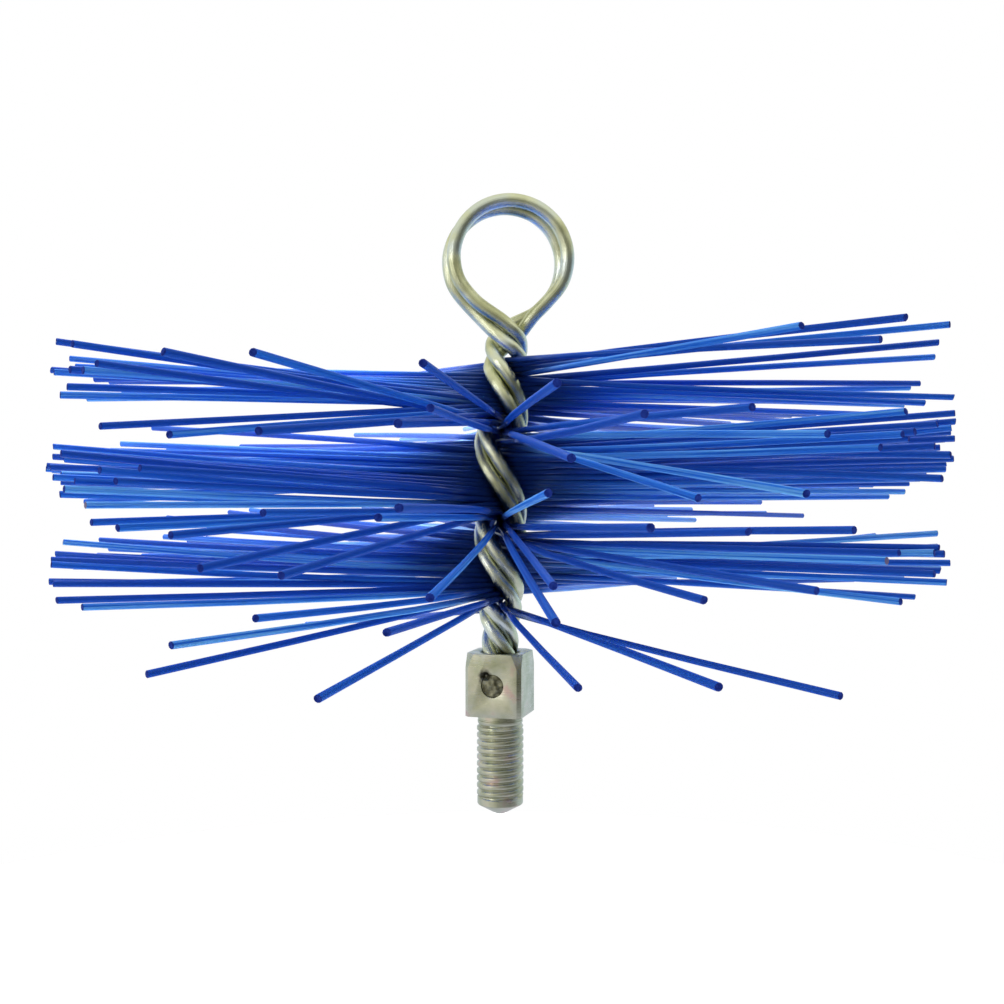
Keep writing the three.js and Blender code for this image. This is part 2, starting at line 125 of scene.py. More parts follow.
def drawProfile(bm, profile):
    # an open line of (radius, height) in millimetres, ready to be spun round the axis
    points = [bm.verts.new((radius * mm, 0, height * mm)) for radius, height in profile]
    return points + [bm.edges.new(pair) for pair in zip(points, points[1:])]


def turned(name, profile, steps, place=None):
    # a closed turned shape, from a profile with its ends on the axis
    bm = bmesh.new()
    bmesh.ops.spin(bm, geom=drawProfile(bm, profile), cent=(0, 0, 0), axis=up,
                   angle=2 * math.pi, steps=steps, use_merge=True)
    bmesh.ops.remove_doubles(bm, verts=bm.verts, dist=weldDistance)
    if place:
        bmesh.ops.transform(bm, matrix=place, verts=bm.verts)
    bmesh.ops.recalc_face_normals(bm, faces=bm.faces)
    return addObject(name, meshFrom(bm, name))


def smoothShaded(mesh, degrees):
    mesh.shade_smooth()
    mesh.set_sharp_from_angle(angle=math.radians(degrees))


# The film's width stands for the photograph's, so the lens follows from the focal length in pixels.
camera = dict(x=0.38, y=-240, z=65.4, focalPixels=1140, framePixels=1004, filmWidth=36, nearest=10)


def placeCamera():
    lens = bpy.data.cameras.new("photoCamera")
    lens.sensor_fit = "HORIZONTAL"
    lens.sensor_width = camera["filmWidth"]
    lens.lens = camera["filmWidth"] * camera["focalPixels"] / camera["framePixels"]
    lens.clip_start = camera["nearest"] * mm
    eye = bpy.data.objects.new("photoCamera", lens)
    eye.location = (camera["x"] * mm, camera["y"] * mm, camera["z"] * mm)
    eye.rotation_euler = (math.pi / 2, 0, 0)  # level, looking along +Y
    scene.collection.objects.link(eye)
    scene.camera = eye


# Soft light falls from the sky, more from behind the brush than from the viewer's side. Polished
# metal mirrors the floor a little bluer than it is, and a pale yellow ceiling. skyTurns and
# ceilingRise are ranges of the direction's Y and Z, over which the sky and the walls change.
studio = dict(floorHeight=-120, floorRadius=380, floorMiddle=60, floorSides=96,
              floorColour="#e8e8e6", floorGlow=0.66, floorMirrored="#d6dcea",
              skyColour="#f4f8ff", skyInFront=0.5, skyBehind=1.7, skyTurns=(-0.1, 1.0),
              ceiling="#f8f8e0", ceilingRise=(0.15, 0.6))


def seenAsBackground(tree):
    # the ray's kinds, and whether it is one that shows the background as plain white
    rays = addNode(tree, "ShaderNodeLightPath")
    seen = addNode(tree, "ShaderNodeMath", {
        0: rays.outputs["Is Camera Ray"], 1: rays.outputs["Is Transmission Ray"]},
        operation="MAXIMUM")
    return rays, seen.outputs[0]


def layFloor():
    bm = bmesh.new()
    bmesh.ops.create_circle(bm, cap_ends=True, segments=studio["floorSides"],
                            radius=studio["floorRadius"] * mm)
    bmesh.ops.translate(bm, vec=(0, studio["floorMiddle"] * mm, studio["floorHeight"] * mm),
                        verts=bm.verts)
    bmesh.ops.recalc_face_normals(bm, faces=bm.faces)
    material, tree = newMaterial("whitePaperFloor")  # matt white paper, keeps the shadow
    rays, seen = seenAsBackground(tree)
    mirrored = rays.outputs["Is Glossy Ray"]  # metal sees an even sheet with a cast of its own
    sheet = addNode(tree, "ShaderNodeMix", {
        0: mirrored, 6: linear(studio["floorColour"]), 7: black}, data_type="RGBA")
    cast = addNode(tree, "ShaderNodeMix", {
        0: mirrored, 6: white, 7: linear(studio["floorMirrored"])}, data_type="RGBA")
    glow = addNode(tree, "ShaderNodeMath", {0: seen, 1: studio["floorGlow"]}, operation="MULTIPLY")
    shown = addNode(tree, "ShaderNodeMath", {0: mirrored, 1: glow.outputs[0]}, operation="MAXIMUM")
    paper = addNode(tree, "ShaderNodeBsdfDiffuse", {"Color": sheet.outputs[2]})
    light = addNode(tree, "ShaderNodeEmission", {
        "Color": cast.outputs[2], "Strength": shown.outputs[0]})
    lit = addNode(tree, "ShaderNodeAddShader", {0: paper.outputs[0], 1: light.outputs[0]})
    addNode(tree, "ShaderNodeOutputMaterial", {"Surface": lit.outputs[0]})
    addObject("floor", meshFrom(bm, "floor"), material)


# What polished metal sees of the studio, by compass angle from the viewer's side: a pale backdrop
# behind, a white wall on the left, and the dark end of the room from the viewer to the right.
roomStops = [(-180, "#dfeeff"), (-110, "#e6eef2"), (-75, "#f4f4ec"), (-46, "#f6f4ea"),
             (-24, "#d2d1bf"), (-4, "#8f9184"), (22, "#75776e"), (55, "#66685f"),
             (80, "#7b7d76"), (98, "#c4dae2"), (125, "#e0f2f8"), (180, "#dfeeff")]


def paintWorld():
    world = bpy.data.worlds.new("studio")
    world.use_nodes = True
    scene.world = world
    tree = world.node_tree
    tree.nodes.clear()
    direction = addNode(tree, "ShaderNodeTexCoord").outputs["Generated"]
    split = addNode(tree, "ShaderNodeSeparateXYZ", {0: direction})
    ahead = addNode(tree, "ShaderNodeMath", {0: split.outputs["Y"], 1: -1.0}, operation="MULTIPLY")
    compass = addNode(tree, "ShaderNodeMath", {0: split.outputs["X"], 1: ahead.outputs[0]},
                      operation="ARCTAN2")
    share = addNode(tree, "ShaderNodeMapRange", {
        "Value": compass.outputs[0], "From Min": -math.pi, "From Max": math.pi})
    stops = [((degrees + 180) / 360, code) for degrees, code in roomStops]
    room = addNode(tree, "ShaderNodeValToRGB", {0: share.outputs["Result"]}, stops=stops)
    lowest, highest = studio["ceilingRise"]
    overhead = addNode(tree, "ShaderNodeMapRange", {
        "Value": split.outputs["Z"], "From Min": lowest, "From Max": highest},
        interpolation_type="SMOOTHSTEP")
    walls = addNode(tree, "ShaderNodeMix", {
        0: overhead.outputs["Result"], 6: room.outputs["Color"], 7: linear(studio["ceiling"])},
        data_type="RGBA")
    front, back = studio["skyTurns"]
    level = addNode(tree, "ShaderNodeMapRange", {
        "Value": split.outputs["Y"], "From Min": front, "From Max": back,
        "To Min": studio["skyInFront"], "To Max": studio["skyBehind"]})
    rays, seen = seenAsBackground(tree)
    soft = addNode(tree, "ShaderNodeBackground", {
        "Color": linear(studio["skyColour"]), "Strength": level.outputs["Result"]})
    mirrored = addNode(tree, "ShaderNodeBackground", {"Color": walls.outputs[2], "Strength": 1.0})
    plain = addNode(tree, "ShaderNodeBackground", {"Color": white, "Strength": 1.0})
    first = addNode(tree, "ShaderNodeMixShader", {
        0: rays.outputs["Is Glossy Ray"], 1: soft.outputs[0], 2: mirrored.outputs[0]})
    second = addNode(tree, "ShaderNodeMixShader", {0: seen, 1: first.outputs[0], 2: plain.outputs[0]})
    addNode(tree, "ShaderNodeOutputWorld", {"Surface": second.outputs[0]})


# Soft boxes: place, target and width in metres, watts, whether polished metal mirrors them, and
# whether they light matt surfaces. The front one is only there for its glint on the metal.
lamps = dict(
    key=dict(place=(-0.38, 0.34, 0.44), aim=(0, 0, 0.07), width=0.8, power=6.0,
             mirrored=False, lights=True),
    back=dict(place=(-0.06, 0.24, 0.32), aim=(0, 0.03, 0.07), width=0.45, power=3.6,
              mirrored=False, lights=True),
    front=dict(place=(-0.62, -0.50, 0.24), aim=(0, 0, 0.05), width=0.26, power=0.6,
               mirrored=True, lights=False),
)


def hangLamps():
    for name, lamp in lamps.items():
        light = bpy.data.lights.new(name, "AREA")
        light.size = lamp["width"]
        light.energy = lamp["power"]
        holder = bpy.data.objects.new(name, light)
        holder.visible_glossy = lamp["mirrored"]
        holder.visible_diffuse = lamp["lights"]
        holder.visible_camera = False
        holder.location = lamp["place"]
        facing = Vector(lamp["aim"]) - holder.location
        holder.rotation_euler = facing.to_track_quat("-Z", "Y").to_euler()
        scene.collection.objects.link(holder)


placeCamera()
layFloor()
paintWorld()
hangLamps()
print("camera, floor, world and lamps are set")


# Drawn mild steel wire, bright zinc plated: a mirror-like skin with draw marks along the wire and
# the faint yellow-green of its passivation, in clouds of about 8 mm. On the bent wire U runs along
# it and V round it, so there are 13 marks in its length and 120 round it.
wireSkin = dict(stops=[(0.36, "#b6b898"), (0.52, "#d4d7c0"), (0.66, "#d0d7d6")], cloudScale=125.0,
                marksStretch=(3.2, 30, 1), marksScale=4.0, smoothest=0.06, roughest=0.18,
                marksStrength=0.45, marksHeight=0.12)


def brightZincWire():
    look = wireSkin
    material, tree = newMaterial("brightZincOnDrawnWire")
    uv = addNode(tree, "ShaderNodeTexCoord").outputs["UV"]
    spot = addNode(tree, "ShaderNodeTexCoord").outputs["Object"]
    stretched = addNode(tree, "ShaderNodeMapping", {"Vector": uv, "Scale": look["marksStretch"]})
    marks = addNode(tree, "ShaderNodeTexNoise", {
        "Vector": stretched.outputs[0], "Scale": look["marksScale"], "Detail": 6.0,
        "Roughness": 0.65})
    cloud = addNode(tree, "ShaderNodeTexNoise", {
        "Vector": spot, "Scale": look["cloudScale"], "Detail": 2.0})
    tint = addNode(tree, "ShaderNodeValToRGB", {0: cloud.outputs["Fac"]}, stops=look["stops"])
    gloss = addNode(tree, "ShaderNodeMapRange", {
        "Value": marks.outputs["Fac"], "From Min": 0.3, "From Max": 0.72,
        "To Min": look["smoothest"], "To Max": look["roughest"]})
    bump = addNode(tree, "ShaderNodeBump", {
        "Height": marks.outputs["Fac"], "Strength": look["marksStrength"],
        "Distance": look["marksHeight"] * mm})
    shader = addNode(tree, "ShaderNodeBsdfPrincipled", {
        "Base Color": tint.outputs["Color"], "Metallic": 1.0,
        "Roughness": gloss.outputs["Result"], "Normal": bump.outputs["Normal"]})
    addNode(tree, "ShaderNodeOutputMaterial", {"Surface": shader.outputs[0]})
    return material


# Free-cutting steel bar, turned and zinc plated: duller than the wire, with fine cutter marks and
# faint pink and green clouds of about 4 mm in the passivation. The marks are 0.3 mm high and 4 mm
# long. The colour is darker in the punch mark and in a ragged patch round it.
barSkin = dict(stops=[(0.36, "#aeb198"), (0.6, "#c6c4b2"), (0.74, "#cdb2aa")], cloudScale=260.0,
               marksStretch=(260, 260, 3400), smoothest=0.24, roughest=0.40, marksStrength=0.35,
               marksHeight=0.08, punchDark="#45433a", punchDarkRagged=1.4, punchDarkScale=1100.0,
               punchDarkReach=(1.5, 2.7))


def zincOnTurnedBar(punchPlace):
    look = barSkin
    material, tree = newMaterial("zincOnTurnedBar")
    spot = addNode(tree, "ShaderNodeTexCoord").outputs["Object"]
    stretched = addNode(tree, "ShaderNodeMapping", {"Vector": spot, "Scale": look["marksStretch"]})
    marks = addNode(tree, "ShaderNodeTexNoise", {
        "Vector": stretched.outputs[0], "Scale": 1.0, "Detail": 4.0, "Roughness": 0.6})
    cloud = addNode(tree, "ShaderNodeTexNoise", {
        "Vector": spot, "Scale": look["cloudScale"], "Detail": 3.0})
    tint = addNode(tree, "ShaderNodeValToRGB", {0: cloud.outputs["Fac"]}, stops=look["stops"])
    # the colour is darker in and round the punch mark, with a ragged edge
    away = addNode(tree, "ShaderNodeVectorMath", {0: spot, 1: punchPlace}, operation="DISTANCE")
    edge = addNode(tree, "ShaderNodeTexNoise", {
        "Vector": spot, "Scale": look["punchDarkScale"], "Detail": 3.0})
    ragged = addNode(tree, "ShaderNodeMath", {
        0: edge.outputs["Fac"], 1: look["punchDarkRagged"] * mm, 2: away.outputs["Value"]},
        operation="MULTIPLY_ADD")
    darkestReach, faintReach = look["punchDarkReach"]
    undarkened = addNode(tree, "ShaderNodeMapRange", {
        "Value": ragged.outputs[0], "From Min": darkestReach * mm, "From Max": faintReach * mm},
        interpolation_type="SMOOTHSTEP")
    darkened = addNode(tree, "ShaderNodeMix", {
        0: undarkened.outputs["Result"], 6: linear(look["punchDark"]), 7: tint.outputs["Color"]},
        data_type="RGBA")
    gloss = addNode(tree, "ShaderNodeMapRange", {
        "Value": marks.outputs["Fac"], "From Min": 0.3, "From Max": 0.7,
        "To Min": look["smoothest"], "To Max": look["roughest"]})
    bump = addNode(tree, "ShaderNodeBump", {
        "Height": marks.outputs["Fac"], "Strength": look["marksStrength"],
        "Distance": look["marksHeight"] * mm})
    shader = addNode(tree, "ShaderNodeBsdfPrincipled", {
        "Base Color": darkened.outputs[2], "Metallic": 1.0,
        "Roughness": gloss.outputs["Result"], "Normal": bump.outputs["Normal"]})
    addNode(tree, "ShaderNodeOutputMaterial", {"Surface": shader.outputs[0]})
    return material


# The plug is a raw steel pin, pressed in and hammered flat: darker and rougher than the bar, with
# specks of soot-like grease 1.4 mm apart.
plugSkin = dict(stops=[(0.38, "#4d4b3c"), (0.66, "#98967f")], grimeScale=700.0, roughness=0.42,
                grimeStrength=0.4, grimeHeight=0.1)


def punchedPlugSteel():
    look = plugSkin
    material, tree = newMaterial("punchedPlugSteel")
    spot = addNode(tree, "ShaderNodeTexCoord").outputs["Object"]
    grime = addNode(tree, "ShaderNodeTexNoise", {
        "Vector": spot, "Scale": look["grimeScale"], "Detail": 4.0})
    tint = addNode(tree, "ShaderNodeValToRGB", {0: grime.outputs["Fac"]}, stops=look["stops"])
    bump = addNode(tree, "ShaderNodeBump", {
        "Height": grime.outputs["Fac"], "Strength": look["grimeStrength"],
        "Distance": look["grimeHeight"] * mm})
    shader = addNode(tree, "ShaderNodeBsdfPrincipled", {
        "Base Color": tint.outputs["Color"], "Metallic": 1.0, "Roughness": look["roughness"],
        "Normal": bump.outputs["Normal"]})
    addNode(tree, "ShaderNodeOutputMaterial", {"Surface": shader.outputs[0]})
    return material


# Extruded polypropylene filament: saturated blue, satin, a little light in its depth, and faint
# lines along the strand. Each strand has a tone of its own, from deep to light; the seed puts the
# deep ones on the strands that point at the viewer, as painted shade. Over these shares of the
# strand's length the colour darkens towards the stem: painted shade where the strands crowd.
filamentSkin = dict(stops=[(0.14, "#184eb6"), (0.35, "#2672da"), (0.56, "#6ab0ee")],
                    linesStretch=(9, 2.2, 37), rootShade="#223f88", rootShadeShares=(0.04, 0.34),
                    smoothest=0.12, roughest=0.24, linesStrength=0.12, linesHeight=0.06,
                    sheen="#a8d4ff", lightDepth=1.5)


def blueFilament():
    look = filamentSkin
    material, tree = newMaterial("bluePolypropyleneFilament")
    uv = addNode(tree, "ShaderNodeTexCoord").outputs["UV"]
    # each strand's random tone; with the chosen seed the deep tones are painted shade on the strands
    # that point at the viewer
    toneAndShade = addNode(tree, "ShaderNodeAttribute", attribute_name="toneAndShade")
    shifted = addNode(tree, "ShaderNodeVectorMath", {0: uv, 1: toneAndShade.outputs["Color"]},
                      operation="ADD")
    stretched = addNode(tree, "ShaderNodeMapping", {
        "Vector": shifted.outputs[0], "Scale": look["linesStretch"]})
    lines = addNode(tree, "ShaderNodeTexNoise", {
        "Vector": stretched.outputs[0], "Scale": 1.0, "Detail": 3.0})
    blend = addNode(tree, "ShaderNodeMath", {0: lines.outputs["Fac"], 1: toneAndShade.outputs["Fac"]},
                    operation="MULTIPLY")
    tint = addNode(tree, "ShaderNodeValToRGB", {0: blend.outputs[0]}, stops=look["stops"])
    # painted shade: the colour turns darker towards the stem, where the strands crowd together
    along = addNode(tree, "ShaderNodeSeparateXYZ", {0: uv})
    shadeFrom, shadeTo = look["rootShadeShares"]
    undarkened = addNode(tree, "ShaderNodeMapRange", {
        "Value": along.outputs["Y"], "From Min": shadeFrom, "From Max": shadeTo},
        interpolation_type="SMOOTHSTEP")
    rootShaded = addNode(tree, "ShaderNodeMix", {
        0: undarkened.outputs["Result"], 6: linear(look["rootShade"]), 7: tint.outputs["Color"]},
        data_type="RGBA")
    gloss = addNode(tree, "ShaderNodeMapRange", {
        "Value": lines.outputs["Fac"], "From Min": 0.3, "From Max": 0.7,
        "To Min": look["smoothest"], "To Max": look["roughest"]})
    bump = addNode(tree, "ShaderNodeBump", {
        "Height": lines.outputs["Fac"], "Strength": look["linesStrength"],
        "Distance": look["linesHeight"] * mm})
    shader = addNode(tree, "ShaderNodeBsdfPrincipled", {
        "Base Color": rootShaded.outputs[2], "Roughness": gloss.outputs["Result"], "IOR": 1.5,
        "Specular IOR Level": 0.3, "Specular Tint": linear(look["sheen"]),
        "Subsurface Weight": 0.3, "Subsurface Radius": (0.35, 0.7, 1.0),
        "Subsurface Scale": look["lightDepth"] * mm, "Normal": bump.outputs["Normal"]})
    addNode(tree, "ShaderNodeOutputMaterial", {"Surface": shader.outputs[0]})
    return material


# The same plastic where the shears cut it: matt and darker, in patches of 0.7 mm, and crushed pale
# on the few strands with the lightest tones.
endSkin = dict(stops=[(0.35, "#14297f"), (0.7, "#2a44a6")], patchScale=1500.0, crushed="#7f7590",
               crushedTones=(0.955, 0.965), roughness=0.75)


def shearedEnd():
    look = endSkin
    material, tree = newMaterial("shearedFilamentEnd")
    spot = addNode(tree, "ShaderNodeTexCoord").outputs["Object"]
    patch = addNode(tree, "ShaderNodeTexNoise", {
        "Vector": spot, "Scale": look["patchScale"], "Detail": 2.0})
    tint = addNode(tree, "ShaderNodeValToRGB", {0: patch.outputs["Fac"]}, stops=look["stops"])
    toneAndShade = addNode(tree, "ShaderNodeAttribute", attribute_name="toneAndShade")
    lowest, highest = look["crushedTones"]
    few = addNode(tree, "ShaderNodeMapRange", {
        "Value": toneAndShade.outputs["Fac"], "From Min": lowest, "From Max": highest})
    shown = addNode(tree, "ShaderNodeMix", {
        0: few.outputs["Result"], 6: tint.outputs["Color"], 7: linear(look["crushed"])},
        data_type="RGBA")
    shader = addNode(tree, "ShaderNodeBsdfPrincipled", {
        "Base Color": shown.outputs[2], "Roughness": look["roughness"], "IOR": 1.5,
        "Specular IOR Level": 0.06})
    addNode(tree, "ShaderNodeOutputMaterial", {"Surface": shader.outputs[0]})
    return material


wireFinish = brightZincWire()
plugFinish = punchedPlugSteel()
filamentFinish = blueFilament()
endFinish = shearedEnd()
print("finishes are made")


# The route is the frame's: height, spread of the pairs and lean at each quarter turn of the twist.
# The frame's wires are routeDiameter thick, and 0.25 mm apart in a pair. Here they nearly touch.
wires = dict(diameter=2.9, spacing=2.95, routeDiameter=2.8, couplerTop=34.0, stemLength=66.5,
             bundle=5.4, lean=1.3, leanQuarters=(4, 7), firstQuarter=-3, footHeight=26.0,
             eyeRadius=11.9, eyeRise=15.7, eyeOffset=1.65, eyeDepth=1.3, eyeSteps=10,
             ringAside=(0.38, -0.87, 0.32), sides=20, stepsPerStation=6, sharpAngle=50)
heightShares = [-0.175, -0.093, -0.01, 0.073, 0.158, 0.262, 0.4, 0.552, 0.703, 0.842, 0.935, 1]
spreadShares = [0.26, 0.26, 0.26, 0.3, 0.66, 0.84, 0.94, 1, 0.92, 0.72, 0.6, 0.5]
lastQuarter = wires["firstQuarter"] + len(heightShares) - 1


def between(shares, quarter):
    # smooth value between the entries of a table with one entry for each quarter turn
    place = min(max(quarter, wires["firstQuarter"]), lastQuarter) - wires["firstQuarter"]
    index = min(int(place), len(shares) - 2)
    t = place - index
    padded = [2 * shares[0] - shares[1]] + shares + [2 * shares[-1] - shares[-2]]
    a, b, c, d = padded[index:index + 4]
    slope, nextSlope, rise = (c - a) / 2, (d - b) / 2, c - b
    return (b + t * slope + t * t * (3 * rise - 2 * slope - nextSlope)
            + t ** 3 * (slope + nextSlope - 2 * rise))


def smoothStep(value, low, high):
    share = min(max((value - low) / (high - low), 0), 1)
    return share * share * (3 - 2 * share)


def twistAt(quarter):
    # middle of the twist, the way out to a pair, the way from wire to wire in it, the pairs' spread
    angle = -math.pi / 2 * quarter
    middle = Vector((wires["lean"] * smoothStep(quarter, *wires["leanQuarters"]), 0,
                     wires["couplerTop"] + wires["stemLength"] * between(heightShares, quarter)))
    outward = Vector((math.sin(angle), -math.cos(angle), 0))
    along = Vector((math.cos(angle), math.sin(angle), 0))
    return middle, outward, along, wires["bundle"] * between(spreadShares, quarter)


def quarterAtHeight(height):
    low, high = wires["firstQuarter"], lastQuarter
    for _ in range(40):  # halved until the two are as good as equal
        half = (low + high) / 2
        if twistAt(half)[0].z < height:
            low = half
        else:
            high = half
    return (low + high) / 2


def stemStations(side):
    foot = quarterAtHeight(wires["footHeight"])
    steps = 2 * (lastQuarter - wires["firstQuarter"])
    stations = []
    for step in range(steps + 1):
        quarter = foot + (lastQuarter - foot) * step / steps
        middle, outward, along, spread = twistAt(quarter)
        stations.append((middle + outward * side * (wires["routeDiameter"] / 2 + spread / 2), along))
    return stations


def eyeStations():
    # from the left leg over the top to the right one, a little nearer the viewer at the start
    legAngle = math.acos(wires["eyeRadius"] / wires["eyeRise"])
    start, end = -math.pi / 2 - legAngle, -math.pi * 2.5 + legAngle
    centreHeight = wires["couplerTop"] + wires["stemLength"] + wires["eyeRise"]
    stations = []
    for step in range(wires["eyeSteps"] + 1):
        share = step / wires["eyeSteps"]
        angle = start + (end - start) * step / wires["eyeSteps"]
        place = Vector((wires["eyeOffset"] + wires["eyeRadius"] * math.cos(angle),
                        wires["eyeDepth"] * (2 * share - 1),
                        centreHeight + wires["eyeRadius"] * math.sin(angle)))
        stations.append((place, Vector(wires["ringAside"])))
    return stations


def onCurve(points, share):
    # centripetal Catmull-Rom through the points
    place = (len(points) - 1) * min(max(share, 0), 1)
    index = min(int(place), len(points) - 2)
    t = place - index
    padded = [2 * points[0] - points[1]] + points + [2 * points[-1] - points[-2]]
    a, b, c, d = padded[index:index + 4]
    first, second, third = [max((end - begin).length, 1e-8) ** 0.5
                            for begin, end in ((a, b), (b, c), (c, d))]
    slope = ((b - a) / first - (c - a) / (first + second) + (c - b) / second) * second
    nextSlope = ((c - b) / second - (d - b) / (second + third) + (d - c) / third) * second
    return (b + slope * t + (3 * (c - b) - 2 * slope - nextSlope) * t * t
            + (slope + nextSlope - 2 * (c - b)) * t ** 3)


def wireRoute(side):
    # up one pair, round the eye and down the other pair
    stations = stemStations(1) + eyeStations() + stemStations(-1)[::-1]
    places = [place for place, _ in stations]
    asides = [aside for _, aside in stations]
    steps = wires["stepsPerStation"] * (len(stations) - 1)
    route = []
    for step in range(steps + 1):
        share = step / steps
        tangent = (onCurve(places, share + 1e-4) - onCurve(places, share - 1e-4)).normalized()
        aside = onCurve(asides, share)
        aside = (aside - tangent * aside.dot(tangent)).normalized()
        route.append(onCurve(places, share) + aside * side * wires["spacing"] / 2)
    return route


def bendWire(name, node, side):
    # a round wire along the route, with its ends cut square inside the coupler's socket
    curve = bpy.data.curves.new(name, "CURVE")
    curve.dimensions = "3D"
    curve.bevel_depth = wires["diameter"] / 2 * mm
    curve.bevel_resolution = wires["sides"] // 2 - 2
    curve.use_fill_caps = True
    route = wireRoute(side)
    spline = curve.splines.new("POLY")
    spline.points.add(len(route) - 1)
    for point, place in zip(spline.points, route):
        point.co = (*(place * mm), 1)
    draft = addObject(name + "Draft", curve)
    mesh = finishedMesh(draft)
    bpy.data.objects.remove(draft)
    smoothShaded(mesh, wires["sharpAngle"])
    mesh.name = name
    mesh.materials.clear()
    piece = addObject(name, mesh, wireFinish)
    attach(piece, "root")
    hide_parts(node)


bendWire("frontWire", "stem_wire_front", 1)
bendWire("rearWire", "stem_wire_rear", -1)
print("stem wires are bent")


# The punch's dent lies on the edge of the cross hole. Seen from the front, dentX counts to the
# right and dentY up, from the hole's middle.
bar = dict(width=12, shoulder=21.0, top=34.0, turn=-16, corner=0.8, topDiameter=14.4, topDrop=5.0,
           socketRadius=4.3, socketDepth=9.8, socketRim=0.25, holeDiameter=4.8, dentX=-1.5,
           dentY=1.9, dentRadius=1.05, dentDepth=1.0, brokenEdge=0.12, sharpAngle=28)
stud = dict(diameter=9.8, pitch=1.5, depth=0.42, low=3.7, high=18.7, runOut=0.3, bandDiameter=9.6,
            coneHeight=2.2, bluntDiameter=1.8, neckDiameter=9.5, stepsPerTurn=64)
# one pitch of the thread, its broad crest rounded by plating: share of the pitch, share of the depth
threadProfile = [(0, 0), (0.06, 0.03), (0.12, 0.22), (0.24, 0.76), (0.29, 0.93), (0.36, 1),
                 (0.68, 1), (0.76, 0.93), (0.82, 0.76), (0.95, 0.14), (1, 0)]


def frontOfBar():
    # stands a shape that was turned on +Z out of the front face, along the cross hole
    height = (bar["shoulder"] + bar["top"]) / 2
    return (Matrix.Translation((0, 0, height * mm))
            @ Matrix.Rotation(math.radians(bar["turn"]), 4, "Z")
            @ Matrix.Rotation(math.radians(90), 4, "X"))


def dentMiddle():
    return Vector((bar["dentX"] * mm, bar["dentY"] * mm, bar["width"] / 2 * mm))


def punchDent(place):
    # the plug was locked by a punch on the edge of its hole
    depth, radius = bar["dentDepth"], bar["dentRadius"]
    profile = [(0, -depth), (radius * 0.3, -depth * 0.9), (radius * 1.15, 0.23), (0, 0.23)]
    return turned("punchDent", profile, steps=24, place=place @ Matrix.Translation(dentMiddle()))


def squareBar():
    bm = bmesh.new()
    bmesh.ops.create_cube(bm, size=1)
    height = bar["top"] - bar["shoulder"]
    bmesh.ops.scale(bm, vec=(bar["width"] * mm, bar["width"] * mm, height * mm), verts=bm.verts)
    bmesh.ops.translate(bm, vec=(0, 0, (bar["shoulder"] + height / 2) * mm), verts=bm.verts)
    upright = [edge for edge in bm.edges
               if abs((edge.verts[0].co - edge.verts[1].co).normalized().z) > 0.9]
    bmesh.ops.bevel(bm, geom=upright, offset=bar["corner"] * mm, offset_type="OFFSET", segments=1,
                    profile=0.5, affect="EDGES", material=-1)
    bmesh.ops.rotate(bm, cent=(0, 0, 0), verts=bm.verts,
                     matrix=Matrix.Rotation(math.radians(bar["turn"]), 3, "Z"))
    bmesh.ops.recalc_face_normals(bm, faces=bm.faces)
    return addObject("squareBar", meshFrom(bm, "squareBar"))


def machinedBar():
    # the socket's and the hole's tools reach a little past the faces that they open
    top, under, corner = bar["top"], bar["shoulder"] - 1, bar["width"] / math.sqrt(2)
    envelope = turned("turnedTop", [(0, under), (corner, under), (corner, top - bar["topDrop"]),
                                    (bar["topDiameter"] / 2, top), (0, top)], steps=128)
    reach, rim, floor = bar["socketRadius"], bar["socketRim"], top - bar["socketDepth"]
    socket = turned("socket", [(0, floor - 1), (reach, floor), (reach, top - rim),
                               (reach + 2 * rim, top + rim), (0, top + rim)], steps=96)
    radius, face = bar["holeDiameter"] / 2, bar["width"] / 2
    hole = turned("crossHole", [(0, 1), (radius, 1), (radius, face + 0.2), (0, face + 0.2)],
                  steps=48, place=frontOfBar())
    mesh = combined(squareBar(), [("INTERSECT", envelope), ("DIFFERENCE", socket),
                                  ("DIFFERENCE", hole), ("DIFFERENCE", punchDent(frontOfBar()))],
                    "machinedBar")
    piece = addObject("machinedBar", mesh)
    soften = piece.modifiers.new("brokenEdges", "BEVEL")  # edges broken in the plating barrel
    soften.width = bar["brokenEdge"] * mm
    soften.segments = 2
    soften.limit_method = "ANGLE"
    soften.angle_limit = math.radians(35)
    return piece


def threadedStud():
    # the thread is spun a few turns too long, and cut flat above and below
    radius, depth, pitch, runOut = stud["diameter"] / 2, stud["depth"], stud["pitch"], stud["runOut"]
    bm = bmesh.new()
    start = stud["low"] - 1.5 * pitch
    profile = [(radius - depth + depth * rise, start + pitch * share) for share, rise in threadProfile]
    turns = math.ceil((stud["high"] - stud["low"]) / pitch) + 3
    bmesh.ops.spin(bm, geom=drawProfile(bm, profile), cent=(0, 0, 0), axis=up,
                   angle=2 * math.pi * turns, steps=turns * stud["stepsPerTurn"],
                   dvec=(0, 0, pitch / stud["stepsPerTurn"] * mm))
    bmesh.ops.remove_doubles(bm, verts=bm.verts, dist=2 * weldDistance)
    for height, side in ((stud["low"] - runOut, -1), (stud["high"] + runOut, 1)):
        bmesh.ops.bisect_plane(bm, geom=bm.verts[:] + bm.edges[:] + bm.faces[:],
                               plane_co=(0, 0, height * mm), plane_no=(0, 0, side),
                               clear_outer=True)
        rim = [edge for edge in bm.edges if edge.is_boundary
               and all(abs(vert.co.z - height * mm) < weldDistance for vert in edge.verts)]
        bmesh.ops.contextual_create(bm, geom=rim)
    for vert in bm.verts:  # the first and last turns run out in a 45 degree chamfer
        fade = min(vert.co.z / mm - stud["low"], stud["high"] - vert.co.z / mm)
        limit = (radius - depth + max(fade, 0) + 0.1) * mm
        reach = math.hypot(vert.co.x, vert.co.y)
        if reach > limit:
            vert.co.x *= limit / reach
            vert.co.y *= limit / reach
    bmesh.ops.recalc_face_normals(bm, faces=bm.faces)
    return addObject("thread", meshFrom(bm, "thread"))


